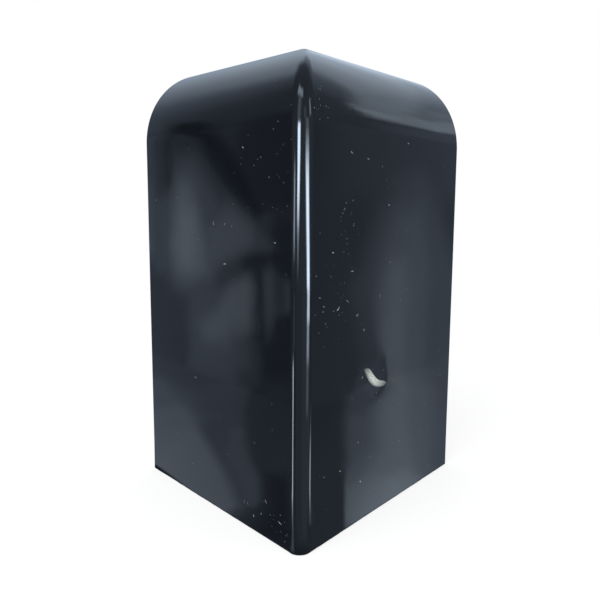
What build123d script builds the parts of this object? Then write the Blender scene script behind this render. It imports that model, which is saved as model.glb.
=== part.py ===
"""External corner cover for a roof-edge board: two upright legs, a rounded arris and a mitred nosing.

The part is one thin moulded shell. Its two legs lap the faces of the boards that meet at an outside
corner, and the nosing along the top of each leg turns back over the rounded edge of its board. The
origin is under the middle of the part, on the plane of its cut lower end. The outside corner points
to -X and -Y, and +Z runs up the arris to the nosing.
"""

import os

from build123d import *

# Driving dimensions, in millimetres
height = 150.0  # from the cut lower end to the top of the return lip
leg = 80.0  # outside width of each leg, from the outer faces' corner to the free edge
wall = 2.0  # thickness of the moulding, the same all over
nose_inside_radius = 26.5  # inside of the nosing, which seats on the board's rounded edge
arris_inside_radius = 2.2  # inside of the upright corner and of the mitre above it
lip_width = 11.5  # flat return between the nosing and the free edge of the lip
rim_radius = 0.6  # rounding of the moulded free edges, which the cut lower end goes without

# Sizes and places worked out from them
nose_radius = nose_inside_radius + wall
arris_radius = arris_inside_radius + wall
return_depth = nose_radius + lip_width
outer_face = -leg / 2
inner_face = outer_face + wall
free_edge = leg / 2
lip_edge = outer_face + return_depth


def nosed_section(plane, face, top, nose, low, far):
    """Upright section through a nosed block: a face, the nosing above it, and straight sides behind."""
    with BuildSketch(plane) as section:
        with BuildLine():
            upright = Line((face, low), (face, top - nose))
            nosing = CenterArc((face + nose, top - nose), nose, 180, -90)
            Polyline(nosing @ 1, (far, top), (far, low), upright @ 0)
        make_face()
    return section.sketch


def nosed_block(face, top, nose, arris, low, far):
    """A block with a nosing along the top of two adjoining faces, mitred and rounded at their corner.

    Both nosed faces stand at `face`, in X and in Y. The block runs from `low` to `top`, and back to
    `far`. The nosings have the radius `nose`, and the arris and mitre between them `arris`.
    """
    with BuildPart() as block:
        extrude(nosed_section(Plane.YZ.offset(face), face, top, nose, low, far), amount=far - face)
        extrude(
            nosed_section(Plane.XZ.offset(-far), face, top, nose, low, far),
            amount=far - face,
            mode=Mode.INTERSECT,
        )
        mitre = block.edges().filter_by(GeomType.ELLIPSE)
        upright_arris = block.edges().filter_by(Axis.Z).group_by(Axis.X)[0].sort_by(Axis.Y)[:1]
        fillet(mitre + upright_arris, radius=arris)
    return block.part


# The board space passes the open lower end and the free edges by a wall's thickness
outer_form = nosed_block(outer_face, height, nose_radius, arris_radius, 0, free_edge)
board_space = nosed_block(
    inner_face,
    height - wall,
    nose_inside_radius,
    arris_inside_radius,
    -wall,
    free_edge + wall,
)

with BuildPart() as corner_cover:
    add(outer_form)
    add(board_space, mode=Mode.SUBTRACT)
    # The top closes only as far back as the free edge of the return lip
    with BuildSketch(Plane.XY.offset(height - wall)):
        with Locations((lip_edge, lip_edge)):
            Rectangle(leg, leg, align=Align.MIN)
    extrude(amount=2 * wall, mode=Mode.SUBTRACT)
    # Round the moulded ends of the legs and the edge of the lip
    right_rims = faces().filter_by(Axis.X).sort_by(Axis.X)[-2:]
    left_rims = faces().filter_by(Axis.Y).sort_by(Axis.Y)[-2:]
    rim_edges = (right_rims + left_rims).edges().filter_by_position(
        Axis.Z, 0, height, inclusive=(False, True)
    )
    fillet(rim_edges, radius=rim_radius)

corner_cover.part.label = "corner_cover"
os.makedirs("parts", exist_ok=True)
export_step(corner_cover.part, "parts/corner_cover.step")
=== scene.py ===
import math
import random

import bmesh
import bpy
import numpy as np
from mathutils import Euler, Matrix, Vector, noise
from mathutils.bvhtree import BVHTree


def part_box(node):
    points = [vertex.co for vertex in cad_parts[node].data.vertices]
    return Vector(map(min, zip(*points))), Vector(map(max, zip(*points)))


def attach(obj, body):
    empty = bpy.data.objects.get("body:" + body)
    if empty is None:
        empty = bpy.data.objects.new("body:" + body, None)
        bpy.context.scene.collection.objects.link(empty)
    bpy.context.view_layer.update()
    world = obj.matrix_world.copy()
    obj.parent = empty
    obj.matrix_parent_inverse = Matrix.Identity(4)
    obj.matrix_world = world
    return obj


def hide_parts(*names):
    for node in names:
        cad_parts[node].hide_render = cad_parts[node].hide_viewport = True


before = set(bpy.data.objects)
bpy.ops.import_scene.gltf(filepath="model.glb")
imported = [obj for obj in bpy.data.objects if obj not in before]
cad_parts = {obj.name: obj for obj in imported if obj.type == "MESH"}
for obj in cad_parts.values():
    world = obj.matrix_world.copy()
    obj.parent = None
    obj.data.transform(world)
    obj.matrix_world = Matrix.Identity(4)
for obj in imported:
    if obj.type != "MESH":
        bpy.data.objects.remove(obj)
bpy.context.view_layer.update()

low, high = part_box("corner_cover")
MM = 0.001

# Sizes of the cover in millimetres, which follow its CAD solid
HEIGHT = (high.z - low.z) / MM
FACE = low.x / MM
FREE = high.x / MM
WALL = 2.0
NOSE = 28.5
SPRING = HEIGHT - NOSE
ARRIS = 4.2
RETURN = 40.0  # from a face back to the free edge of the lip
RIM = 0.6

# Marks of how this one was moulded, sawn and knocked, in millimetres
RIPPLE_LEFT = 0.16
RIPPLE_RIGHT = 0.10
CUT = 0.34  # bevel of the sawn end, on average
CUT_UNEVEN = 0.45
DENT = 0.09
KNOCK = (-5.8, 45.2)  # middle of the dent, along the right-hand leg and up it


def smooth(x, start, end):
    """A soft step from 0 at the start to 1 at the end."""
    t = np.clip((np.asarray(x, float) - start) / (end - start), 0.0, 1.0)
    return t * t * (3 - 2 * t)


def steps(first, *spans):
    """Places from the first number on, each span being (end, largest step)."""
    places = [first]
    for end, step in spans:
        start = places[-1]
        count = max(1, math.ceil(abs(end - start) / step - 1e-6))
        places += [start + (end - start) * k / count for k in range(1, count + 1)]
    return np.array(places)


def linked(name, data):
    """A new object in the scene from a mesh, a lamp or a camera."""
    obj = bpy.data.objects.new(name, data)
    bpy.context.collection.objects.link(obj)
    return obj


def mesh_from(name, verts, faces):
    """A mesh from points in millimetres."""
    mesh = bpy.data.meshes.new(name)
    mesh.from_pydata([tuple(c * MM for c in v) for v in verts], [], faces)
    return mesh


def smoothed(mesh, angle):
    """Shades a mesh smooth, but for the edges that turn by more than an angle in degrees."""
    mesh.shade_smooth()
    mesh.set_sharp_from_angle(angle=math.radians(angle))


def ripple(along, up, seed):
    """Gentle unevenness of a moulded wall, from 0 to 1 at each place."""
    out = np.empty(along.shape)
    for i, (a, u) in enumerate(zip(along.flat, up.flat)):
        long_wave = Vector((a / 34.0, u / 46.0, seed))
        short_wave = Vector((a / 15.0, u / 24.0, seed + 7.3))
        out.flat[i] = 0.5 + 0.42 * noise.noise(long_wave) + 0.1 * noise.noise(short_wave)
    return np.clip(out, 0.0, 1.0)


def knock(along, up):
    """The shallow dent round the scrape, steepest below it and to its right, in millimetres inward."""
    right, above = along - KNOCK[0], up - KNOCK[1]
    right = np.where(right > 0, (1.12 + 0.4 * smooth(above, -1.5, 5.0)) * right, right)
    away = np.hypot(right, above)
    below = smooth((0.55 * right - 0.83 * above) / np.maximum(away, 0.5), -0.5, 0.75)
    flat_end, slope_end = 1.5 + 2.0 * below, 11.0 - 4.4 * below
    return DENT * (1 - smooth(away, flat_end, slope_end))


def section():
    """The outer section up a leg, round the nosing and along the lip.

    Each row has its depth behind the face, its height, the surface's tilt and the run along the surface.
    """
    straight = steps(
        CUT, (0.7, 0.2), (2.0, 0.8), (38.0, 1.3), (53.0, 0.45), (SPRING - 0.3, 1.3), (SPRING, 0.3)
    )
    lean = np.radians(steps(0.0, (90.0, 1.6)))[1:]
    flat = RETURN - NOSE - RIM
    lip = steps(0.0, (0.3, 0.3), (flat - 0.3, 1.6), (flat, 0.3))[1:]
    depth = np.concatenate([np.zeros(len(straight)), NOSE * (1 - np.cos(lean)), NOSE + lip])
    up = np.concatenate([straight, SPRING + NOSE * np.sin(lean), np.full(len(lip), HEIGHT)])
    tilt = np.concatenate([np.zeros(len(straight)), lean, np.full(len(lip), math.pi / 2)])
    girth = np.concatenate([straight, SPRING + NOSE * lean, SPRING + NOSE * math.pi / 2 + lip])
    return depth, up, tilt, girth


def surfaces():
    """Rows and columns of points on the outer and inner surfaces, in millimetres.

    The columns run along the left leg, round the arris and along the right leg. Also returned are which
    rows lie on the level lip, and the columns at which the arris starts and ends.
    """
    depth, up, tilt, girth = section()
    foot, edge = FACE + ARRIS, FREE - RIM
    left = steps(
        edge, (edge - 0.2, 0.2), (edge - 1.0, 0.4), (foot + 0.9, 1.3), (foot + 0.2, 0.35), (foot, 0.2)
    )
    left = (edge - left) / (edge - foot)
    right = steps(
        foot, (foot + 0.2, 0.2), (foot + 0.9, 0.35), (-15.0, 1.3), (2.0, 0.45),
        (edge - 1.0, 1.3), (edge - 0.2, 0.4), (edge, 0.2),
    )
    right = (right - foot) / (edge - foot)
    fan = np.linspace(0, 1, 31)[1:-1]
    start, end = len(left), len(left) + len(fan)
    rows, cols = len(depth), end + len(right)

    point = np.zeros((rows, cols, 3))
    normal = np.zeros((rows, cols, 3))
    along = np.zeros((rows, cols))
    inset = np.where(depth <= NOSE, NOSE - (NOSE - ARRIS) * np.cos(tilt), depth)
    for j in range(rows):
        turn = FACE + inset[j]
        c, s = math.cos(tilt[j]), math.sin(tilt[j])
        left_way, right_way = np.array((-c, 0, s)), np.array((0, -c, s))
        normal[j, :start] = left_way
        normal[j, end:] = right_way
        point[j, :start, 0] = FACE + depth[j]
        point[j, :start, 1] = edge + (turn - edge) * left
        point[j, end:, 0] = turn + (edge - turn) * right
        point[j, end:, 1] = FACE + depth[j]
        point[j, :, 2] = up[j]
        span = math.acos(max(-1.0, min(1.0, s * s)))
        if span > 1e-3:
            swing = np.sin((1 - fan) * span)[:, None] * left_way + np.sin(fan * span)[:, None] * right_way
            swing /= math.sin(span)
        else:
            swing = np.tile((0.0, 0.0, 1.0), (len(fan), 1))
        normal[j, start:end] = swing
        point[j, start:end] = np.array((turn, turn, up[j] - ARRIS * s)) + ARRIS * swing
        along[j, :start] = point[j, :start, 1]
        along[j, end:] = point[j, end:, 0]

    girths = np.repeat(girth[:, None], cols, 1)
    sink = np.zeros((rows, cols))
    sink[:, :start] = RIPPLE_LEFT * ripple(along[:, :start], girths[:, :start], 2.7)
    sink[:, end:] = RIPPLE_RIGHT * ripple(along[:, end:], girths[:, end:], 11.4)
    sink[:, start:end] = sink[:, start - 1 : start] * (1 - fan) + sink[:, end : end + 1] * fan
    calm = smooth(girths, 0.0, 12.0) * (1 - smooth(girths, SPRING + 20, SPRING + 44))
    sink *= 0.25 + 0.75 * calm
    sink[:, end:] += knock(along[:, end:], girths[:, end:])
    return point - normal * sink[..., None], point - normal * WALL, tilt > math.pi / 2 - 1e-6, start, end


def cover():
    """The cover as one closed mesh: outer and inner surfaces, rounded free rim and square-cut lower end."""
    outer, inner, level, start, end = surfaces()
    rows, cols = outer.shape[:2]
    verts, faces = [], []

    def add(p):
        """A new vertex, by its number."""
        verts.append(tuple(p))
        return len(verts) - 1

    def grid(surface):
        """A surface's vertices. At the level lip the arris has no width, so its columns share one."""
        ids = np.zeros((rows, cols), int)
        for j in range(rows):
            for i in range(cols):
                if level[j] and start <= i <= end:
                    ids[j, i] = ids[j, start - 1]
                else:
                    ids[j, i] = add(surface[j, i])
        return ids

    def quad(*ids):
        """A new face, without the corners that fall together."""
        ring = [v for k, v in enumerate(ids) if v != ids[k - 1]]
        if len(ring) > 2:
            faces.append(ring)

    out, inn = grid(outer), grid(inner)
    for j in range(rows - 1):
        for i in range(cols - 1):
            quad(out[j, i], out[j, i + 1], out[j + 1, i + 1], out[j + 1, i])
            quad(inn[j, i], inn[j + 1, i], inn[j + 1, i + 1], inn[j, i + 1])

    # The free rim runs up the left leg's end, round the lip and down the right leg's end
    quarter = np.radians(np.linspace(0, 90, 6))
    path = [(math.sin(a), RIM * (1 - math.cos(a)) / WALL) for a in quarter]
    path += [(math.cos(a), 1 - RIM * (1 - math.sin(a)) / WALL) for a in quarter]
    stations = [(j, 0, (0, 1, 0)) for j in range(rows)]
    stations += [(rows - 1, 0, (math.sin(a), math.cos(a), 0)) for a in quarter[1:]]
    stations += [(rows - 1, i, (1, 0, 0)) for i in range(1, start - 1)]
    stations += [(rows - 1, start - 1, (1, 1, 0))]
    stations += [(rows - 1, i, (0, 1, 0)) for i in range(end + 1, cols)]
    stations += [(rows - 1, cols - 1, (math.sin(a), math.cos(a), 0)) for a in quarter[1:]]
    stations += [(j, cols - 1, (1, 0, 0)) for j in range(rows - 2, -1, -1)]
    rim = []
    for j, i, e in stations:
        ids = [out[j, i]]
        for reach, share in path[1:-1]:
            base = outer[j, i] * (1 - share) + inner[j, i] * share
            ids.append(add(base + RIM * reach * np.array(e)))
        rim.append(ids + [inn[j, i]])
    for a, b in zip(rim, rim[1:]):
        for k in range(len(a) - 1):
            quad(a[k], b[k], b[k + 1], a[k + 1])

    # The cut end has a fine uneven bevel round the section
    ring = list(out[0]) + rim[-1][1:-1] + list(inn[0][::-1]) + rim[0][-2:0:-1]
    place = np.array([verts[v] for v in ring])
    way = np.roll(place, -1, 0)[:, :2] - np.roll(place, 1, 0)[:, :2]
    way /= np.linalg.norm(way, axis=1, keepdims=True)
    inward = np.stack([-way[:, 1], way[:, 0]], 1)
    sole = []
    for p, n in zip(place, inward):
        bite = CUT * (1 + CUT_UNEVEN * noise.noise(Vector((p[0] / 2.4, p[1] / 2.4, 0.7))))
        sole.append(add((p[0] + bite * n[0], p[1] + bite * n[1], 0.0)))
    for k in range(len(ring)):
        quad(ring[k], ring[k - 1], sole[k - 1], sole[k])
    turn_back = len(path) - 2
    far = cols + turn_back + cols
    for i in range(cols - 1):
        quad(sole[i], sole[far - 1 - i], sole[far - 2 - i], sole[i + 1])
    faces.append(sole[cols - 1 : cols + turn_back + 1][::-1])
    faces.append(([sole[far - 1]] + sole[far:] + [sole[0]])[::-1])

    mesh = mesh_from("gutter_corner", verts, faces)
    mesh.validate()
    smoothed(mesh, 38)
    return linked("gutter_corner", mesh)


def to_object(name, verts, faces):
    """A closed mesh in millimetres, as an object with its faces turned outward."""
    mesh = mesh_from(name, verts, faces)
    work = bmesh.new()
    work.from_mesh(mesh)
    bmesh.ops.recalc_face_normals(work, faces=work.faces)
    work.to_mesh(mesh)
    work.free()
    smoothed(mesh, 50)
    return linked(name, mesh)


class Legs:
    """Finds the cover's outer surface at a place on either leg."""

    def __init__(self, obj):
        """Takes up the cover's mesh, in millimetres."""
        verts = [v.co / MM for v in obj.data.vertices]
        self.tree = BVHTree.FromPolygons(verts, [tuple(p.vertices) for p in obj.data.polygons])

    def at(self, side, along, up, out):
        """A point `out` millimetres off the left or right leg, never outside the part's own size."""
        before = FACE - 20
        if side == "L":
            hit = self.tree.ray_cast(Vector((before, along, up)), Vector((1, 0, 0)))[0]
            return (max(hit.x - out, FACE), along, up)
        hit = self.tree.ray_cast(Vector((along, before, up)), Vector((0, 1, 0)))[0]
        return (along, max(hit.y - out, FACE), up)


# Shavings from the saw that lie on the legs: leg, place along it, height, length and slope
SHAVINGS = [
    ("R", -25.0, 71.2, 2.1, 51), ("R", -21.0, 72.7, 1.9, -44), ("R", -19.9, 116.5, 1.5, -26),
    ("L", -25.1, 11.9, 1.6, 56), ("R", -12.7, 62.8, 1.0, 50), ("L", -22.7, 7.1, 1.0, -60),
    ("R", -19.0, 81.9, 1.8, 10), ("R", -16.3, 68.1, 1.4, 28), ("L", -0.3, 94.9, 1.7, 75),
    ("L", -5.8, 82.3, 1.8, -10), ("L", -31.4, 7.8, 2.3, 17), ("R", -31.4, 71.2, 0.8, 30),
    ("R", -4.9, 72.6, 1.7, 75), ("R", 0.0, 82.9, 0.8, 5), ("R", -5.4, 113.3, 0.9, 80),
    ("L", -15.1, 117.6, 0.8, 35), ("R", -32.8, 75.3, 0.8, -20), ("L", -14.5, 7.7, 1.7, 75),
    ("L", -6.0, 94.8, 0.9, -50), ("L", -19.4, 5.0, 1.1, 70), ("R", -12.4, 115.0, 0.8, -15),
    ("R", -1.3, 101.3, 0.8, 10), ("L", -16.5, 7.9, 0.8, 65), ("L", 11.2, 42.5, 0.8, 20),
    ("R", -13.2, 13.4, 0.8, -40), ("R", 8.3, 121.3, 0.8, 15), ("R", -27.5, 87.8, 0.7, 0),
    ("R", -13.3, 47.8, 0.7, 45), ("R", -31.1, 72.5, 0.7, -35), ("R", -14.6, 26.9, 0.7, 60),
    ("R", -23.1, 20.7, 0.7, -10), ("L", -29.1, 90.5, 0.7, 25),
]
# Dust: leg, reach along it, reach up it and number of specks
DUST = [
    ("L", -34, 34, 4, 119, 44), ("R", -34, 34, 4, 119, 70), ("L", -36, -16, 98, 136, 22),
    ("L", -36, -26, 2, 12, 14), ("R", -36, -28, 124, 133, 8), ("R", -36, -20, 60, 90, 20),
    ("R", -25, -16, 90, 104, 16), ("R", -34, -30, 126, 134, 5),
]
# Sizes of the shavings and specks in millimetres
SHAVING_THICK = 0.06
SPECK_THICK = 0.04
SPECK_HALF_WIDTH = 0.072
SPECK_LENGTH = (0.18, 0.46)
BEDDED = 0.03
SLIVER_RINGS = 7


def swarf(legs):
    """Curled shavings and specks of dust, as one piece that lies on both legs."""
    draw = random.Random(5)
    slivers = []
    for side, along, up, length, slope in SHAVINGS:
        half = 0.185 - 0.03 * length
        slivers.append((side, along, up, 0.35 + 0.62 * length, slope, half, SHAVING_THICK))
    for side, start, end, bottom, top, count in DUST:
        for _ in range(count):
            along, up = draw.uniform(start, end), draw.uniform(bottom, top)
            length, slope = draw.uniform(*SPECK_LENGTH), draw.uniform(-90, 90)
            slivers.append((side, along, up, length, slope, SPECK_HALF_WIDTH, SPECK_THICK))
    verts, faces = [], []
    for side, along, up, length, slope, half, thick in slivers:
        turn = math.radians(slope)
        curl = math.radians(draw.uniform(25, 75)) * draw.choice((-1, 1))
        half *= draw.uniform(0.75, 1.2)
        step = length / (SLIVER_RINGS - 1)
        along -= length / 2 * math.cos(turn)
        up -= length / 2 * math.sin(turn)
        rings = []
        for k in range(SLIVER_RINGS):
            t = 2 * k / (SLIVER_RINGS - 1) - 1
            way = turn + curl * t / 2
            wide = half * (1 - 0.8 * abs(t) ** 2.5)
            tall = thick * (1 - 0.6 * t * t)
            rings.append(range(len(verts), len(verts) + 4))
            for shift, out in ((wide, 0.3 * tall), (0, tall), (-wide, 0.3 * tall), (0, -BEDDED)):
                verts.append(legs.at(side, along - shift * math.sin(way), up + shift * math.cos(way), out))
            along += step * math.cos(way)
            up += step * math.sin(way)
        for a, b in zip(rings, rings[1:]):
            for k in range(4):
                faces.append((a[k - 1], a[k], b[k], b[k - 1]))
        faces.append(tuple(rings[0]))
        faces.append(tuple(rings[-1]))
    return to_object("swarf", verts, faces)


# Both edges of the pale smear on the right-hand leg, from its thin end to its thick end
SMEAR_UPPER = [
    (-10.2, 50.1), (-9.1, 49.3), (-7.8, 47.7), (-6.4, 46.2), (-4.75, 44.85), (-2.85, 44.3), (-1.2, 43.75),
    (-0.5, 43.0),
]
SMEAR_LOWER = [
    (-12.8, 50.3), (-12.1, 49.2), (-11.3, 47.8), (-10.4, 46.4), (-9.3, 45.0), (-7.6, 43.6), (-5.6, 42.7),
    (-3.7, 42.3), (-2.0, 42.2), (-0.9, 42.6),
]
# How pale the smear is at shares of its length: whitening and a painted highlight brightest mid-way
SMEAR_WHITENING_AND_HIGHLIGHT = [
    (0, 0.16), (0.1, 0.45), (0.2, 0.78), (0.3, 0.96), (0.42, 1), (0.55, 1), (0.66, 0.75), (0.78, 0.5),
    (0.9, 0.28), (1, 0.05),
]
SMEAR_THICK = 0.13
SMEAR_BEDDED = 0.06


def resample(points, count):
    """A line through the points, with its bends softened and its places evenly spaced."""
    pts = np.array(points, float)
    run = np.concatenate([[0], np.cumsum(np.hypot(*np.diff(pts, axis=0).T))])
    at = np.linspace(0, run[-1], count)
    line = np.stack([np.interp(at, run, pts[:, 0]), np.interp(at, run, pts[:, 1])], 1)
    for _ in range(3):
        line[1:-1] = (line[:-2] + 2 * line[1:-1] + line[2:]) / 4
    return line


def smear(legs):
    """The pale scrape of plastic on the right-hand leg, low in the middle of its dent."""
    count, across = 30, 11
    upper, lower = resample(SMEAR_UPPER, count), resample(SMEAR_LOWER, count)
    top, under, scrape_light_and_shade = [], [], []
    for k in range(count):
        t = k / (count - 1)
        tall = SMEAR_THICK * float(smooth(t, -0.15, 0.35)) * (1 - 0.5 * float(smooth(t, 0.85, 1.1)))
        pale = np.interp(t, *zip(*SMEAR_WHITENING_AND_HIGHLIGHT))
        for s in np.linspace(0, 1, across):
            a, u = upper[k] * (1 - s) + lower[k] * s
            grain = 0.35 * noise.noise(Vector((a * 1.4, u * 2.6, 3.1)))
            dome = max(0.0, 1 - (2 * s - 1) ** 2) ** 0.6
            top.append(legs.at("R", a, u, tall * dome * (1 + grain) - 0.01))
            under.append(legs.at("R", a, u, -SMEAR_BEDDED))
            # Darker towards the lower edge: painted shade under the raised scrape
            scrape_light_and_shade.append(float(pale * (1 - 0.8 * smooth(s, 0.62, 1.0))))
    below = len(top)
    faces = []
    for k in range(count - 1):
        for i in range(across - 1):
            a = k * across + i
            b, c, d = a + 1, a + across + 1, a + across
            faces += [(a, b, c, d), (below + a, below + d, below + c, below + b)]
    edge = [k * across for k in range(count)] + [(count - 1) * across + i for i in range(1, across)]
    edge += [k * across + across - 1 for k in range(count - 2, -1, -1)] + list(range(across - 2, 0, -1))
    for k in range(len(edge)):
        faces.append((edge[k - 1], edge[k], below + edge[k], below + edge[k - 1]))
    obj = to_object("scrape", top + under, faces)
    # Its attribute body holds the whitening, the painted highlight and the painted shade
    obj.data.attributes.new("body", "FLOAT", "POINT").data.foreach_set("value", scrape_light_and_shade + scrape_light_and_shade)
    return obj


def material(name):
    """A new material, with its nodes and its main shader."""
    mat = bpy.data.materials.new(name)
    mat.use_nodes = True
    return mat, mat.node_tree, mat.node_tree.nodes["Principled BSDF"]


def bare_material(name):
    """A new material without a shader, with its nodes and the place to plug one in."""
    mat, tree, shader = material(name)
    tree.nodes.remove(shader)
    return mat, tree, tree.nodes["Material Output"].inputs["Surface"]


def node(tree, kind, **values):
    """A new node with some of its inputs set."""
    made = tree.nodes.new(kind)
    for key, value in values.items():
        made.inputs[key].default_value = value
    return made


def mapped(tree, scale):
    """The object's own coordinates in metres, stretched by a scale in each direction."""
    place = tree.nodes.new("ShaderNodeTexCoord")
    stretch = node(tree, "ShaderNodeMapping", Scale=scale)
    tree.links.new(place.outputs["Object"], stretch.inputs["Vector"])
    return stretch.outputs["Vector"]


def noise_at(tree, vector, scale, detail=2.0, rough=0.5):
    """Procedural noise from 0 to 1 at a place."""
    made = node(tree, "ShaderNodeTexNoise", Scale=scale, Detail=detail, Roughness=rough)
    tree.links.new(vector, made.inputs["Vector"])
    return made.outputs["Fac"]


def ramp(tree, fac, low_at, low, high_at, high):
    """A number that goes from one value to another while its input goes from one place to another."""
    made = tree.nodes.new("ShaderNodeMapRange")
    made.inputs["From Min"].default_value = low_at
    made.inputs["From Max"].default_value = high_at
    made.inputs["To Min"].default_value = low
    made.inputs["To Max"].default_value = high
    tree.links.new(fac, made.inputs["Value"])
    return made.outputs["Result"]


def blend_colours(tree, fac, one, other):
    """A mix of two colours, the second of which may be another node's output."""
    made = tree.nodes.new("ShaderNodeMix")
    made.data_type = "RGBA"
    made.inputs["A"].default_value = (*one, 1)
    if isinstance(other, tuple):
        made.inputs["B"].default_value = (*other, 1)
    else:
        tree.links.new(other, made.inputs["B"])
    tree.links.new(fac, made.inputs["Factor"])
    return made.outputs["Result"]


def total(tree, first, second, how="ADD"):
    """The sum of two numbers, or what another operation makes of them."""
    made = tree.nodes.new("ShaderNodeMath")
    made.operation = how
    tree.links.new(first, made.inputs[0])
    tree.links.new(second, made.inputs[1])
    return made.outputs["Value"]


def bumped(tree, shader, height, distance):
    """Fine relief on a shader, as deep as a distance in metres."""
    made = node(tree, "ShaderNodeBump", Distance=distance)
    tree.links.new(height, made.inputs["Height"])
    tree.links.new(made.outputs["Normal"], shader.inputs["Normal"])


PLASTIC_IOR = 1.5


def black_plastic():
    """Gloss black PVC: a cold black with faint clouding, handling marks and orange peel."""
    mat, tree, shader = material("gloss_black_plastic")
    even = mapped(tree, (1, 1, 1))
    cloud = ramp(tree, noise_at(tree, even, 28, 3), 0.35, 0, 0.65, 1)
    colour = blend_colours(tree, cloud, (0.0040, 0.0052, 0.0071), (0.0058, 0.0072, 0.0098))
    tree.links.new(colour, shader.inputs["Base Color"])
    # Rubbed patches are a little duller, and fine scratches run mostly upright
    rubbed = ramp(tree, noise_at(tree, even, 60, 4, 0.6), 0.42, 0.055, 0.75, 0.13)
    upright = noise_at(tree, mapped(tree, (1, 1, 0.045)), 2600, 1)
    scratch = ramp(tree, upright, 0.70, 0.0, 0.78, 0.10)
    tree.links.new(total(tree, rubbed, scratch), shader.inputs["Roughness"])
    shader.inputs["IOR"].default_value = PLASTIC_IOR
    peel = ramp(tree, noise_at(tree, even, 520, 2), 0, 0, 1, 1)
    grit = ramp(tree, noise_at(tree, even, 2600, 2), 0.66, 0, 0.8, 0.35)
    bumped(tree, shader, total(tree, peel, grit), 0.0000045)
    return mat


def cut_plastic():
    """The sawn lower end: dull, and ridged by the blade."""
    mat, tree, shader = material("sawn_black_plastic")
    ridges = noise_at(tree, mapped(tree, (1, 1, 1)), 1500, 3, 0.7)
    colour = blend_colours(tree, ridges, (0.010, 0.0112, 0.0135), (0.032, 0.034, 0.037))
    tree.links.new(colour, shader.inputs["Base Color"])
    tree.links.new(ramp(tree, ridges, 0, 0.42, 1, 0.68), shader.inputs["Roughness"])
    shader.inputs["IOR"].default_value = PLASTIC_IOR
    bumped(tree, shader, ridges, 0.00006)
    return mat


def swarf_plastic():
    """Loose shavings and dust, some pale and some grey."""
    mat, tree, shader = material("pale_swarf")
    even = mapped(tree, (1, 1, 1))
    tone = ramp(tree, noise_at(tree, even, 170, 1), 0.35, 0, 0.65, 1)
    colour = blend_colours(tree, tone, (0.10, 0.11, 0.12), (0.44, 0.46, 0.46))
    tree.links.new(colour, shader.inputs["Base Color"])
    shader.inputs["Roughness"].default_value = 0.5
    bumped(tree, shader, noise_at(tree, even, 6000, 2), 0.00003)
    return mat


def scraped_plastic():
    """Whitened, grainy scraped plastic, taken towards black by the mesh for its thin ends, painted
    highlight and shade.
    """
    mat, tree, shader = material("pale_scrape_painted_light")
    grain = noise_at(tree, mapped(tree, (1, 1, 2.2)), 1100, 4, 0.7)
    share = tree.nodes.new("ShaderNodeAttribute")
    share.attribute_name = "body"
    whitened = ramp(tree, grain, 0.36, 0, 0.62, 1)
    pale = blend_colours(tree, whitened, (0.42, 0.455, 0.415), (0.92, 0.95, 0.88))
    # Towards black where the attribute is low: the thin ends, and the painted shade along the lower edge
    colour = blend_colours(tree, share.outputs["Fac"], (0.008, 0.009, 0.010), pale)
    tree.links.new(colour, shader.inputs["Base Color"])
    tree.links.new(ramp(tree, grain, 0, 0.35, 1, 0.6), shader.inputs["Roughness"])
    bumped(tree, shader, grain, 0.00008)
    return mat


body = cover()
body.data.materials.append(black_plastic())
body.data.materials.append(cut_plastic())
for face in body.data.polygons:
    if face.normal.z < -0.5 and face.center.z < 0.3 * MM:
        face.material_index = 1
legs = Legs(body)
shavings = swarf(legs)
shavings.data.materials.append(swarf_plastic())
scrape = smear(legs)
scrape.data.materials.append(scraped_plastic())
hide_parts("corner_cover")
for piece in (body, shavings, scrape):
    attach(piece, "root")

# Camera at the photograph's place, found by fitting the cover's outline
FORWARD = -48.32
camera_data = bpy.data.cameras.new("camera")
camera_data.sensor_width = 36.0
camera_data.lens = 32.79
camera_data.shift_x = -0.0653
camera_data.shift_y = -0.0543
camera_data.clip_start = 0.005
camera = linked("camera", camera_data)
aim = Euler((math.radians(83.34), 0, math.radians(FORWARD))).to_matrix()
roll = Matrix.Rotation(math.radians(0.82), 3, "Z")
stand = Matrix.Translation((-0.142216, -0.144442, 0.101633))
camera.matrix_world = stand @ (aim @ roll).to_4x4()
bpy.context.scene.camera = camera

# Bearings on the stage are in degrees to the right of the line from the cover to the camera
TOWARDS = 270 + FORWARD
MIDDLE = 75  # height of the cover's middle in millimetres


def bearing(angle):
    """East and north parts of a bearing."""
    turn = np.radians(TOWARDS + np.asarray(angle, float))
    return np.cos(turn), np.sin(turn)


def background(tree, seen, unseen):
    """Joins one shader for what the camera, gloss and glass see and one for the rest of the light."""
    path = tree.nodes.new("ShaderNodeLightPath")
    seen_by = total(tree, path.outputs["Is Camera Ray"], path.outputs["Is Glossy Ray"], "MAXIMUM")
    seen_by = total(tree, seen_by, path.outputs["Is Transmission Ray"], "MAXIMUM")
    mix = tree.nodes.new("ShaderNodeMixShader")
    tree.links.new(seen_by, mix.inputs["Fac"])
    tree.links.new(unseen.outputs[0], mix.inputs[1])
    tree.links.new(seen.outputs[0], mix.inputs[2])
    return mix.outputs[0]


def studio_world():
    """A room that is seen as plain white and lights the cover with a soft, slightly cold fill."""
    world = bpy.data.worlds.new("studio")
    bpy.context.scene.world = world
    world.use_nodes = True
    tree = world.node_tree
    white = tree.nodes["Background"]
    white.inputs["Color"].default_value = (1, 1, 1, 1)
    fill = node(tree, "ShaderNodeBackground", Color=(0.97, 0.985, 1, 1), Strength=0.55)
    tree.links.new(background(tree, white, fill), tree.nodes["World Output"].inputs["Surface"])


# Reach of the floor to each side and its drop below the cover, in millimetres
FLOOR_REACH = 3000
FLOOR_DROP = 0.05
# Distances in metres from the cover between which the floor fades to plain white
FADE_START = 0.14
FADE_END = 0.45


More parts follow.
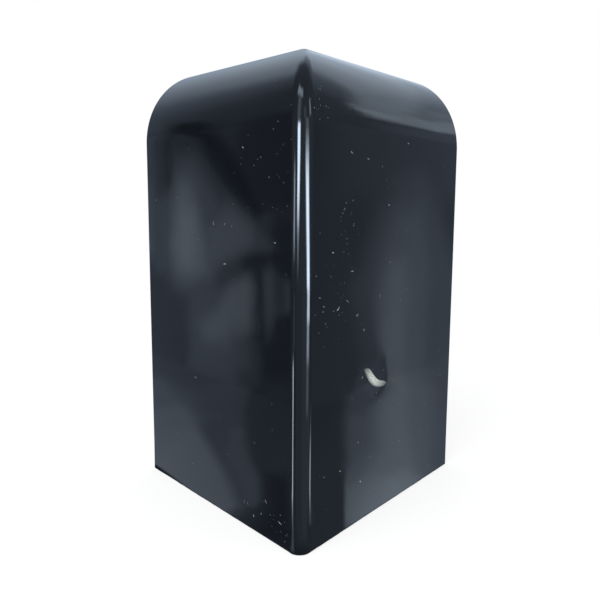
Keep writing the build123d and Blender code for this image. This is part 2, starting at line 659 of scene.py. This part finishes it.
def white_floor():
    """A plain floor: what the camera sees of it is white but for the cover's soft shadow."""
    corners = [(-1, -1), (1, -1), (1, 1), (-1, 1)]
    verts = [(x * FLOOR_REACH, y * FLOOR_REACH, -FLOOR_DROP) for x, y in corners]
    mesh = mesh_from("floor", verts, [(0, 1, 2, 3)])
    floor = linked("floor", mesh)
    mat, tree, surface = bare_material("white_floor")
    plain = node(tree, "ShaderNodeBsdfDiffuse", Color=(0.8, 0.8, 0.8, 1))
    shaded = node(tree, "ShaderNodeBsdfDiffuse", Color=(0.36, 0.36, 0.36, 1))
    lit = node(tree, "ShaderNodeEmission", Color=(1, 1, 1, 1), Strength=0.735)
    both = tree.nodes.new("ShaderNodeAddShader")
    tree.links.new(shaded.outputs[0], both.inputs[0])
    tree.links.new(lit.outputs[0], both.inputs[1])
    pure = node(tree, "ShaderNodeEmission", Color=(1, 1, 1, 1), Strength=1.0)
    place = tree.nodes.new("ShaderNodeTexCoord")
    away = tree.nodes.new("ShaderNodeVectorMath")
    away.operation = "LENGTH"
    tree.links.new(place.outputs["Object"], away.inputs[0])
    spread = tree.nodes.new("ShaderNodeMixShader")
    faded = ramp(tree, away.outputs["Value"], FADE_START, 0, FADE_END, 1)
    tree.links.new(faded, spread.inputs["Fac"])
    tree.links.new(both.outputs[0], spread.inputs[1])
    tree.links.new(pure.outputs[0], spread.inputs[2])
    tree.links.new(background(tree, spread, plain), surface)
    mat.cycles.emission_sampling = "NONE"
    mesh.materials.append(mat)


def softbox(name, angle, height, distance, size, power):
    """A square lamp that faces the cover, with its reflection left to the cards."""
    data = bpy.data.lights.new(name, "AREA")
    data.size = size
    data.energy = power
    obj = linked(name, data)
    east, north = bearing(angle)
    level = math.cos(math.radians(height))
    away = Vector((east * level, north * level, math.sin(math.radians(height))))
    obj.location = Vector((0, 0, MIDDLE * MM)) + away * distance
    obj.rotation_euler = away.to_track_quat("Z", "Y").to_euler()
    obj.visible_camera = False
    obj.visible_glossy = False


studio_world()
white_floor()
softbox("key_lamp", -35, 52, 1.0, 0.7, 4.2)
softbox("fill_lamp", 55, 35, 1.1, 0.8, 2.2)


def card_surface():
    """The cards' surface, which glows as the mesh's own colours say."""
    mat, tree, surface = bare_material("card")
    glow = tree.nodes.new("ShaderNodeEmission")
    shade = tree.nodes.new("ShaderNodeAttribute")
    shade.attribute_name = "glow"
    tree.links.new(shade.outputs["Color"], glow.inputs["Color"])
    tree.links.new(glow.outputs[0], surface)
    mat.cycles.emission_sampling = "NONE"
    return mat


# The cards round the cover light nothing: they are what its gloss reflects
CARD = card_surface()
COLD_DARK = np.array((0.78, 0.97, 1.29))
COLD_PALE = np.array((0.84, 1.0, 1.20))


def patch(u, v, outline, soft):
    """How far each place lies inside a soft-edged outline, from 0 to 1."""
    gap = np.full(u.shape, np.inf)
    inside = np.zeros(u.shape, bool)
    for (au, av), (bu, bv) in zip(outline, outline[1:] + outline[:1]):
        du, dv = bu - au, bv - av
        t = np.clip(((u - au) * du + (v - av) * dv) / (du * du + dv * dv), 0, 1)
        gap = np.minimum(gap, np.hypot(u - au - t * du, v - av - t * dv))
        if dv:
            inside ^= ((av > v) != (bv > v)) & (u < au + (v - av) * du / dv)
    return smooth(np.where(inside, gap, -gap), -soft, soft)


def at_place(value, u, v):
    """A plain number as it is, or a number that changes over the card, worked out for each place."""
    return value(u, v) if callable(value) else value


def card(name, across, upward, place, level, patches):
    """A card seen only in gloss, with its brightness painted from soft-edged outlines in turn.

    Each patch is a brightness, the softness of its edge, and an outline on the card. `place` gives the
    points of the card in millimetres.
    """
    u, v = np.meshgrid(across, upward)
    level = np.zeros(u.shape) + at_place(level, u, v)
    for brightness, soft, outline in patches:
        share = patch(u, v, outline, at_place(soft, u, v))
        level = level * (1 - share) + at_place(brightness, u, v) * share
    verts = np.stack(np.broadcast_arrays(*place(u, v)), -1).reshape(-1, 3)
    wide = len(across)
    faces = [
        (k, k + 1, k + 1 + wide, k + wide)
        for row in range(len(upward) - 1)
        for k in range(row * wide, row * wide + wide - 1)
    ]
    mesh = mesh_from(name, verts, faces)
    pale = smooth(level, 0.2, 0.9)[..., None]
    colour = level[..., None] * (COLD_DARK * (1 - pale) + COLD_PALE * pale)
    paint = np.concatenate([colour, np.ones(level.shape + (1,))], -1).astype(np.float32)
    mesh.attributes.new("glow", "FLOAT_COLOR", "POINT").data.foreach_set("color", paint.ravel())
    mesh.materials.append(CARD)
    obj = linked(name, mesh)
    for kind in ("camera", "diffuse", "transmission", "volume_scatter", "shadow"):
        setattr(obj, "visible_" + kind, False)


DOME_RADIUS = 5000


def dome_place(u, v):
    """Points on the dome from bearings and heights in degrees."""
    east, north = bearing(u)
    level = DOME_RADIUS * np.cos(np.radians(v))
    return level * east, level * north, MIDDLE + DOME_RADIUS * np.sin(np.radians(v))


# Brightness of the room round the cover, by bearing
ROOM = [
    (-180, 0.86), (-160, 0.86), (-145, 0.76), (-135, 0.68), (-127, 0.64), (-121, 0.50), (-116, 0.38),
    (-110, 0.30), (-105, 0.21), (-100, 0.17), (-90, 0.18), (-60, 0.27), (0, 0.35), (60, 0.34), (100, 0.28),
    (107, 0.27), (112, 0.40), (125, 0.55), (150, 0.70), (180, 0.86),
]
CEILING = 0.27


def dome_level(u, v):
    """The room overhead: dark before the cover and above it, paler behind it."""
    rise = 1 + 0.035 * (np.clip(v, 22, 50) - 35) * smooth(-u, 112, 130)
    start = 51 + 5 * smooth(np.abs(u), 130, 165)
    high = smooth((v - start) / 18, 0, 1)
    return np.interp(u, *zip(*ROOM)) * rise * (1 - high) + CEILING * high


# The pale panel behind the cover on the right, and its brightest streak
PANEL = [
    (104.8, 23.5), (106.6, 28), (109.4, 32), (112.6, 34.7), (119, 38.8), (126, 42.5), (134, 46), (146, 49),
    (165, 50), (181, 50), (181, 24), (172, 24), (160, 31.6), (150, 34.4), (140, 35.6), (130, 34.8),
    (122, 32), (117, 28.5), (113.5, 24), (113, 19), (109.5, 20.6), (107, 22),
]
STREAK = [
    (106.9, 29.6), (108.2, 32), (109.6, 32), (109.6, 29), (110.2, 27.4), (112, 26), (115.5, 25.4),
    (118.5, 25.8), (117.5, 20.2), (113, 19.2), (111, 18.8), (109.4, 20.6), (107.8, 21.2), (106.8, 23),
    (106.3, 25), (106.3, 27.4),
]


def panel_level(u, v):
    """The panel is a little dimmer where it lies far round and low."""
    return 1.2 - 0.14 * smooth(u, 114, 124) * (1 - smooth(v, 36.5, 40.5))


card(
    "dome",
    steps(-180.0, (-118.0, 3), (-109.0, 1), (-88.0, 0.5), (98.0, 2), (132.0, 0.5), (180.0, 3)),
    steps(-2.0, (7.0, 1.5), (33.0, 0.5), (52.0, 0.75), (89.5, 2)),
    dome_place,
    dome_level,
    [
        # Low on the left, seen where the left nosing springs from its leg
        (0.335, 1.2, [(-103.8, -4), (-122, -4), (-122, 24), (-111, 24), (-107, 20), (-104.2, 17)]),
        (0.27, 1, [(-104.7, -4), (-102.4, -4), (-102.4, 14.5), (-103, 17), (-104.5, 17.5)]),
        (0.315, 0.6, [(-122, -4), (-103, -4), (-103, 12.4), (-122, 12.4)]),
        (0.165, 0.9, [(-84, -4), (-102.3, -4), (-102.3, 14), (-100.5, 20), (-96, 23), (-84, 22)]),
        (0.105, 2.5, [(-80, -4), (-95.5, -4), (-95.5, 16), (-93, 21), (-80, 19)]),
        (0.10, 1.2, [
            (-98.8, 9), (-101, 9), (-101.6, 13), (-103.4, 16), (-104.4, 20.3), (-102, 20.5), (-99.2, 17.5),
        ]),
        (0.03, 1.1, [
            (-97, 9), (-100.9, 9), (-101.3, 13.5), (-102.8, 16), (-103.3, 18.8), (-101.4, 19.2),
            (-99.2, 17), (-97.4, 14),
        ]),
        # Low on the right, and the panel above it, seen in the right nosing
        (0.42, 2.5, [(100, -4), (128, -4), (128, 19), (113, 18.5), (109, 19.5), (103, 19)]),
        (panel_level, 1.6, PANEL),
        (0.76, 2.5, [(115, 27), (118, 25.5), (123, 27), (127, 30), (125, 33), (115, 29)]),
        (1.22, 0.8, STREAK),
        (1.04, 1.4, [(114.6, 26), (120, 26.5), (120, 19), (114.6, 19.8)]),
        (1.6, 1, [
            (106.9, 29.4), (109.2, 28.9), (110, 26.2), (109.4, 24), (108.2, 23.2), (106.6, 25),
            (106.3, 27.4),
        ]),
        # Lights before the cover, seen in the rounding of the arris and mitre
        (3.4, 4, [(-57, 52), (2, 54), (2, 66), (-57, 66)]),
        (1.3, 5, [(-40, 10), (-14, 10), (-14, 54), (-40, 54)]),
        (0.9, 4, [(12, 20), (30, 20), (28, 38), (12, 38)]),
        (3.0, 4, [(56, 24), (70, 24), (69, 43), (60, 43)]),
    ],
)

# The front card is a strip of a cylinder round the arris, measured along its arc and up it
FRONT_RADIUS = 500
ARC = FRONT_RADIUS * math.pi / 180  # one degree along it


def front_place(u, v):
    """Points on the front card in millimetres."""
    east, north = bearing(u / ARC)
    return FACE + FRONT_RADIUS * east, FACE + FRONT_RADIUS * north, v


def front(brightness, soft, outline):
    """A patch on the front card, its outline given in degrees and heights."""
    return brightness, soft, [(ARC * a, z) for a, z in outline]


card(
    "front_card",
    ARC * steps(-84.0, (-64.0, 2), (-6.0, 0.75), (20.0, 2), (66.0, 0.75), (88.0, 2)),
    steps(0.0, (320.0, 8)),
    front_place,
    lambda u, v: np.interp(u / ARC, [-84, -40, 35, 88], [0.28, 0.34, 0.48, 0.36]),
    [
        front(1.6, 40, [(-36, 170), (-15, 170), (-15, 340), (-36, 340)]),
        front(3.0, 24, [(-34, 30), (-24, 30), (-22, 120), (-34, 120)]),
        front(22, 42, [(-36, 92), (-22, 92), (-16, 165), (-16, 250), (-32, 250), (-35, 150)]),
        front(1.6, 40, [(26, 150), (48, 150), (48, 340), (26, 340)]),
        front(22, 44, [
            (28, 150), (49, 150), (56.5, 81), (62, 40), (68, -30), (46, -30), (42.5, 40), (35.5, 81),
        ]),
        front(5.6, 26, [(-67, 50), (-55, 50), (-54, 140), (-65, 140)]),
    ],
)

# The side cards stand out from each leg and reach past its free edge, in millimetres
SIDE = -120
SIDE_ALONG = steps(30.0, (200.0, 2))
SIDE_UP = steps(0.0, (156.0, 2))

card(
    "left_card",
    SIDE_ALONG,
    SIDE_UP,
    lambda u, v: (SIDE, u, v),
    0.262,
    [
        # The dark upper part and its slanting line
        (0.105, 5, [
            (172, 176), (30, 176), (30, 100), (64, 97), (84, 106), (100, 122), (114, 136), (132, 138),
            (150, 140), (160, 132), (168, 118),
        ]),
        (0.165, 5, [(116, 176), (94, 176), (90, 128), (98, 132), (108, 141), (114, 154)]),
        (0.035, 4, [
            (150, 160), (137, 160), (114, 142), (98, 128), (86, 117), (78, 106), (68, 98), (74, 93),
            (84, 98), (92, 105), (100, 113), (109, 121), (121, 132), (136, 144),
        ]),
        # The dark beside the arris
        (0.10, 7, [(77, 62), (60, 96), (30, 96), (30, -10), (80, -10), (79, 20)]),
        # The pale middle, brightest near the free edge, and what lies below it
        (0.42, 6, [(176, 102), (162, 104), (160, 80), (162, 58), (176, 56)]),
        (0.47, 8, [
            (152, 122), (134, 126), (120, 114), (106, 102), (97, 103), (86, 95), (79, 88), (84, 78),
            (103, 70), (106, 60), (114, 50), (134, 44), (152, 47), (165, 66), (161, 100),
        ]),
        (0.86, 9, [
            (148, 112), (138, 112), (128, 93), (121, 77), (119, 62), (137, 54), (149, 58), (155, 75),
            (152, 98),
        ]),
        (0.64, 6, [
            (108, 92), (98, 97), (88, 93), (79, 89), (76, 84), (76, 79), (86, 75), (98, 71), (112, 66),
            (120, 70), (118, 86),
        ]),
        (1.04, 8, [(146, 95), (136, 96), (133, 76), (137, 63), (147, 63), (150, 78)]),
        (0.48, 7, [
            (136, 50), (121, 54), (106, 56), (84, 66), (77, 58), (77, 39), (83, 25), (101, 13), (118, 4),
            (134, 8), (139, 30),
        ]),
        (0.62, 5, [(82, 40), (98, 38), (112, 32), (125, 22), (122, 11), (108, 11), (97, 19), (86, 25)]),
        (0.76, 6, [
            (99, 56), (84, 62), (79, 58), (80, 50), (83, 37), (97, 35), (106, 27), (121, 22), (126, 30),
            (112, 40),
        ]),
        # Narrow pale bands near the arris
        (0.25, 3, [(71, 69), (62, 70), (54, 63), (50, 60), (50, 49), (54, 46), (61, 45), (69, 42)]),
        (lambda u, v: np.interp(v, [30, 45, 64, 70], [0.26, 0.47, 0.47, 0.36]), 3, [
            (70, 71), (65, 73), (62, 66), (61, 46), (62, 40), (64, 32), (68, 28),
        ]),
        (0.46, 1.6, [(54, 64), (50.6, 64), (50.2, 55), (50.6, 47), (53.6, 47), (54, 55)]),
        (0.42, 4, [(78, 87), (71, 87), (65, 84), (61, 80), (66, 76), (76, 77)]),
        # Dark lines across the upper part, and the strip by the free edge
        (0.07, 4, [
            (136, 147), (121, 135), (109, 124), (100, 116), (92, 108), (84, 101), (87, 100), (96, 106.5),
            (104, 113), (113, 120.5), (124, 131), (137, 142),
        ]),
        (0.17, 5, [(153, 152), (138, 147), (125, 135), (122, 131), (132, 131.5), (150, 131)]),
        (0.23, 4.5, [
            (162, 172), (151, 160), (153, 132), (155, 114), (160, 106), (168, 110), (175, 121), (178, 160),
        ]),
        (0.13, 4, [(164, 168), (151, 162), (153.5, 134), (155, 120), (158, 111), (161, 110), (164, 122)]),
        (0.36, 3, [(220, 180), (181, 180), (179, 146), (175, 120), (173, 60), (220, 56)]),
        (0.66, 9, [(220, 112), (184, 112), (179, 70), (220, 66)]),
        # Darker bands across the middle, and the foot
        (0.13, 3.5, [(66, 75), (82, 75), (90, 70), (88, 64.5), (80, 67), (66, 68.5)]),
        (0.33, 4, [(88, 71), (100, 65.5), (109, 61), (111, 54), (100, 58.5), (88, 64)]),
        (0.25, 5, [(82, 30), (73, 28), (71, 18), (73, 4), (90, 4), (90, 26)]),
        (0.40, 5, [(98, 27), (82, 27), (81, 14), (96, 8)]),
        (0.45, 8, [(136, 12), (122, 18), (94, 22), (99, -14), (140, -14)]),
        (0.385, 6, [(138, 4), (94, 4), (94, -14), (138, -14)]),
        (0.19, 7, [(70, 9), (44, 14), (44, -14), (70, -14)]),
        (0.28, 9, [(39, 190), (0, 190), (0, -30), (39, -30)]),
    ],
)

card(
    "right_card",
    SIDE_ALONG,
    SIDE_UP,
    lambda u, v: (u, SIDE, v),
    0.26,
    [
        # The dim upper part and the edge of the pale middle
        (0.34, 14, [(60, 180), (230, 180), (230, 100), (60, 104)]),
        (0.38, 8, [(74, 60), (99, 60), (99, 14), (84, 14)]),
        (0.42, 8, [(74, 56), (82, 70), (86, 84), (97, 102), (112, 102), (104, 60), (96, 46), (80, 48)]),
        (0.40, 4, [(74, -14), (78, 4), (86, 12), (112, 14), (112, -14)]),
        # The pale middle, brighter inward, with a sharper edge towards the arris
        (0.47, 11, [
            (112, 117), (140, 121), (160, 100), (180, 60), (206, 40), (206, -30), (120, -30), (114, 40),
            (98, 52), (96, 72), (104, 95),
        ]),
        (0.48, 2.5, [
            (150, 44), (150, -24), (108, -24), (108, 0), (105, 8), (102, 15), (100, 21), (95.5, 30),
            (93, 42), (96, 50), (110, 54),
        ]),
        (0.66, 11, [
            (114, 98), (138, 99), (149, 67), (147, 22), (146, -30), (118, -30), (108, 30), (98, 48),
            (96, 62), (102, 82),
        ]),
        (0.66, 3.5, [
            (126, 34), (124, -24), (110, -24), (109, 2), (106, 9), (103, 17), (98.5, 31), (100, 40),
        ]),
        (0.92, 11, [
            (110, 69), (123, 69), (127, 50), (124, 20), (122, -30), (114, -30), (111, 10), (104, 30),
            (100, 48),
        ]),
        (0.90, 5, [(122, 26), (120, -24), (112, -24), (110.5, 6), (107, 15), (102, 30), (106, 38)]),
        # The free edge and the strip by the arris
        (0.44, 8, [(166, 50), (230, 60), (230, -24), (174, -24)]),
        (0.36, 7, [(36, 190), (0, 190), (0, -30), (36, -30)]),
    ],
)


def spoke(places):
    """An outline on the floor from distances and bearings from the arris."""
    ways = [(r, *bearing(a)) for r, a in places]
    return [(FACE + r * float(east), FACE + r * float(north)) for r, east, north in ways]


def fan_out(start, end, near, far, count=7):
    """An outline on the floor between two bearings and two distances from the arris."""
    turns = np.linspace(start, end, count)
    return spoke([(r, a) for r, way in ((near, 1), (far, -1)) for a in turns[::way]])


def fade(*stops):
    """A number that changes with the distance from the arris, from pairs of a distance and its number."""
    distances, values = zip(*stops)
    return lambda u, v: np.interp(np.hypot(u - FACE, v - FACE), distances, values)


# The pale rays on the floor to the left and right of the arris
LEFT_GLOW = fade((13, 0.9), (18, 1.5), (22, 2.5), (26, 3.8), (30, 5.4), (34, 9))
LEFT_SOFT = fade((12, 0.8), (20, 1.4), (36, 2.2))
LEFT_RAY = [
    (3.2, -113), (5.4, -110), (10, -87.5), (15.9, -79.8), (21, -78.5), (33, -76), (40, -73.5), (80, -71),
    (195, -69.5), (195, -61.5), (80, -64), (40, -66), (33, -67.5), (21, -68), (13.8, -66.6), (7.1, -74),
]
RIGHT_GLOW = fade(
    (16, 0.8), (22, 1.2), (30, 2.9), (37, 4.9), (42, 5.2), (55, 5.2), (65, 4.3), (73.5, 3.3), (80, 2.4),
    (86, 1.7), (92, 1.2), (98.5, 0.85), (106, 0.65), (116, 0.55),
)
RIGHT_RAY = [
    (18, 90.5), (26, 87.5), (34, 84.5), (42, 82.5), (60, 82), (90, 82), (122, 82), (122, 92), (90, 92),
    (60, 92), (42, 92.5), (34, 95), (26, 97.5), (18, 100.5),
]

# The floor card lies just over the floor
FLOOR_CARD = -0.02

card(
    "floor_card",
    steps(
        -3000.0, (-700.0, 115), (-480.0, 20), (-240.0, 6), (-48.0, 1.3), (-38.0, 0.4), (-30.0, 1.3),
        (30.0, 0.6), (130.0, 1.5), (700.0, 20), (3000.0, 115),
    ),
    steps(
        -3000.0, (-700.0, 115), (-580.0, 20), (-130.0, 5), (-80.0, 1.5), (-36.0, 0.6), (-20.0, 1.3),
        (100.0, 1.3), (220.0, 6), (700.0, 20), (3000.0, 115),
    ),
    lambda u, v: (u, v, FLOOR_CARD),
    0.48,
    [
        # Before the right leg, paler towards its foot, and darker close to the leg further out: a painted
        # shadow of the cover
        (0.62, 4, [
            (115, -90), (95.5, -78), (79, -67.5), (65, -59), (52.5, -51.5), (40, -45.5), (31, -36),
            (-40, -36), (0, -62), (40, -95), (100, -150), (180, -150),
        ]),
        (0.76, 4, [
            (110, -94), (91, -82), (75, -72), (61, -63), (49, -55), (38, -48), (29, -42), (24, -34),
            (-40, -34), (-4, -60), (17, -67), (33, -72.5), (44, -81.5), (57, -91.5), (64, -97),
            (73.5, -100), (85.5, -103.5), (95, -109), (110, -122), (140, -122),
        ]),
        (1.0, 4, [
            (103, -101), (84.5, -89), (69.5, -79), (56, -69), (44, -60), (34, -52), (26, -46), (19, -36),
            (-36, -36), (-18, -44), (-4, -55), (10, -57.5), (20, -61), (36, -68.5), (47, -78), (60, -88),
            (75, -98.5), (88, -104), (98, -108), (112, -122), (126, -122),
        ]),
        (0.50, 4, [
            (60, -113), (49, -101), (56, -95), (68, -101), (84, -106), (93, -112), (86, -124), (70, -124),
        ]),
        (1.22, 6, [(25, -49), (18, -36), (-30, -36), (-14, -43), (0, -51), (12, -54)]),
        (1.36, 5, [(15, -48), (13, -36), (-18, -36), (-7, -43.5), (4, -47)]),
        # Before the left leg
        (0.35, 8, [(-20, -40), (-20, 400), (-3080, 1750), (-3068, -322), (-60, -40)]),
        (0.385, 7, [(-128, 142), (-128, 78), (-111, 88), (-106, 124)]),
        (0.32, 10, [(-96, 400), (-94, 116), (-112, 100), (-160, 130), (-1360, 2980), (-990, 2980)]),
        (0.70, 3, [
            (-70, 150), (-91, 128), (-87, 100), (-81.5, 80), (-73.8, 62), (-66.8, 45), (-61, 30),
            (-56, 17.5), (-50.8, 6), (-45.5, -4), (-30, -8), (-20, -8), (-20, 130),
        ]),
        (0.60, 12, [(-40, 50), (-78, 70), (-92, 130), (-60, 170), (-20, 170)]),
        (0.47, 14, [(-50, 98), (-90, 92), (-97, 140), (-60, 170)]),
        (0.20, 3, [
            (-30, -9), (-43, -9.5), (-47.5, -8), (-53, -3), (-64, 11), (-79, 33), (-100, 62), (-122, 84),
            (-200, 200), (-2000, 2960), (-3100, 2960), (-3100, -3100), (1017, -3100), (-30, -50),
        ]),
        # Dark ground beyond the pale one, on both sides of the arris
        (0.22, 0.7, [
            (-3096, -1258), (-3096, -3060), (-36, -3060), (10, -70), (8.5, -65.2), (1.3, -59.2),
            (-4.7, -53.7), (-10.7, -48.7), (-15.9, -44), (-20.5, -40), (-26, -34), (-60, -34),
        ]),
        (0.22, 3.2, [
            (-60, -40), (-3096, -1236), (-3096, -3030), (2640, -3030), (300, -300), (80, -127), (63, -112),
            (49, -100.5), (36.5, -89.5), (25.7, -80), (16.5, -71.2), (8.5, -65.4), (0, -60), (-14, -56),
        ]),
        # Dark strips along the feet of the legs: the cover's contact shadow, painted for the gloss to
        # reflect
        (0.04, 0.7, [(-36, 60), (-36, 4), (-40.2, 16), (-40.9, 24), (-41.4, 32), (-41.8, 40), (-42, 60)]),
        (0.04, 0.4, [(-36, 16), (-36, -32), (-40.5, -32), (-40.5, 16)]),
        (0.12, 0.4, [(-32, -36), (44, -36), (44, -40.5), (-32, -40.5)]),
        # Details to the left of the arris
        (0.09, 6, [(-38, -40), (-38, -20), (-52, -12), (-60, -2), (-66, 4), (-74, -6), (-60, -25)]),
        (0.43, 2, [
            (-84, 50), (-67, 31), (-56.5, 10), (-48.5, -5), (-48.5, -9), (-52.3, -7.6), (-58.6, 0),
            (-62.6, 5.4), (-65.6, 11.5), (-68.4, 18.5), (-73.6, 28.5), (-86, 46),
        ]),
        (0.17, 1.5, [
            (-74, 3), (-68.5, -3.5), (-61.5, -11), (-55, -18.5), (-50.5, -24), (-48, -26), (-50, -28),
            (-56, -24), (-63, -16), (-70, -8), (-77, 0),
        ]),
        # In front of the arris, with the pale rays to its left and right
        (0.36, 6, fan_out(-42, 8, 6, 520)),
        (0.48, 6, fan_out(8, 74, 6, 520)),
        (0.62, 9, fan_out(-64, -50, 225, 470)),
        (LEFT_GLOW, LEFT_SOFT, spoke(LEFT_RAY)),
        (RIGHT_GLOW, 2.2, spoke(RIGHT_RAY)),
        (1.7, 14, fan_out(46, 60, 110, 240)),
        (5.2, 20, fan_out(46, 64, 200, 380)),
        (12, 25, fan_out(47, 67, 320, 540)),
    ],
)

bpy.context.scene.view_settings.view_transform = "Standard"
